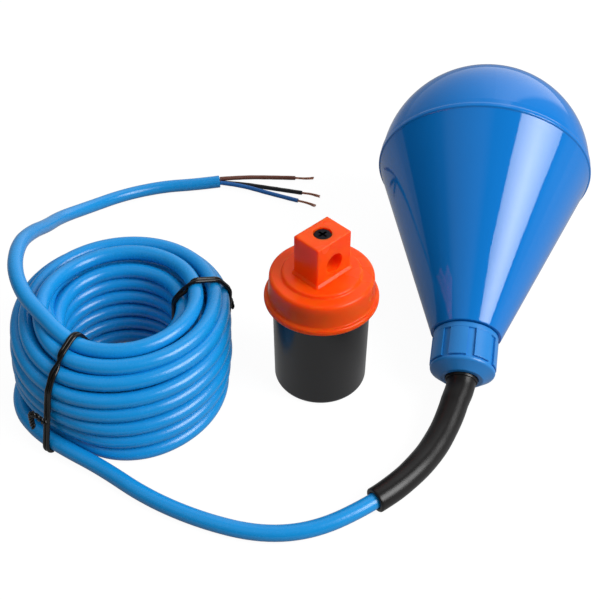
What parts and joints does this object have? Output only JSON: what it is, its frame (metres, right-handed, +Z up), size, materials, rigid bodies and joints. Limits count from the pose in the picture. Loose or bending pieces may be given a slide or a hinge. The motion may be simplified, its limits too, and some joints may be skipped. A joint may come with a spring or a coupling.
{
  "type": "cable float switch",
  "caption": "Pear-shaped float switch with gland nut, bend sleeve, coiled three-core cable with stripped ends, and a clamp-on counterweight.",
  "frame": {"origin": "centre of the counterweight's flat base, on the surface that everything rests on", "axes": "+Z up; +X from the cable coil to the float; -Y towards the gland nut and the loop of cable in front"},
  "size_m": [0.269, 0.2398, 0.0973],
  "materials": {
    "float_shell": "glossy moulded polypropylene",
    "gland_nut": "satin moulded polypropylene",
    "seal_rubber": "moulded rubber",
    "washer_nylon": "natural nylon",
    "sleeve_rubber": "moulded rubber",
    "capsule_plastic": "natural moulded plastic",
    "ball_steel": "polished bearing steel",
    "spring_steel": "rolled spring strip",
    "switch_plastic": "moulded phenolic",
    "plunger_plastic": "moulded acetal",
    "cable_jacket": "extruded soft PVC",
    "tie_wire": "plastic-coated wire",
    "cup_plastic": "satin moulded plastic",
    "ballast_steel": "cast slug",
    "cap_plastic": "moulded polypropylene",
    "screw_steel": "black oxide",
    "terminal_brass": "stamped",
    "core_brown": "extruded PVC",
    "core_black": "extruded PVC",
    "core_blue": "extruded PVC",
    "copper_strand": "bare copper strands"
  },
  "bodies": {
    "switch_and_weight": {"bend_sleeve": "sleeve_rubber", "cable_coil": "cable_jacket", "cable_lead": "cable_jacket", "cable_tail": "cable_jacket", "capsule_base": "capsule_plastic", "capsule_lid": "capsule_plastic", "channel_plug": "capsule_plastic", "clamp_screw": "screw_steel", "copper_black": "copper_strand", "copper_blue": "copper_strand", "copper_brown": "copper_strand", "core_black": "core_black", "core_blue": "core_blue", "core_brown": "core_brown", "float_cone": "float_shell", "float_dome": "float_shell", "gland_nut": "gland_nut", "gland_seal": "seal_rubber", "gland_washer": "washer_nylon", "inner_core_black": "core_black", "inner_core_blue": "core_blue", "inner_core_brown": "core_brown", "lever_pin": "ball_steel", "switch_body": "switch_plastic", "terminal_black": "terminal_brass", "terminal_blue": "terminal_brass", "terminal_brown": "terminal_brass", "tie_back": "tie_wire", "tie_front": "tie_wire", "weight_ballast": "ballast_steel", "weight_cap": "cap_plastic", "weight_cup": "cup_plastic"},
    "ball": {"steel_ball": "ball_steel"},
    "lever": {"switch_lever": "spring_steel"},
    "plunger": {"switch_plunger": "plunger_plastic"}
  },
  "joints": [
    {"name": "ball_roll", "type": "slide", "parent": "switch_and_weight", "child": "ball", "axis": [0.1679, 0.934, 0.3153], "range_m": [0, 0.014]},
    {"name": "lever_pivot", "type": "hinge", "parent": "switch_and_weight", "child": "lever", "pos_m": [0.07115, 0.04292, 0.02263], "axis": [-0.9842, 0.1769, 0], "range_deg": [0, 6]},
    {"name": "plunger_travel", "type": "slide", "parent": "switch_and_weight", "child": "plunger", "axis": [0.1679, 0.934, 0.3153], "range_m": [0, 0.0006]}
  ],
  "couplings": [
    {"joint": "lever_pivot", "follows": "ball_roll", "rad_per_m": 7.48},
    {"joint": "plunger_travel", "follows": "ball_roll", "ratio": 0.04286}
  ]
}
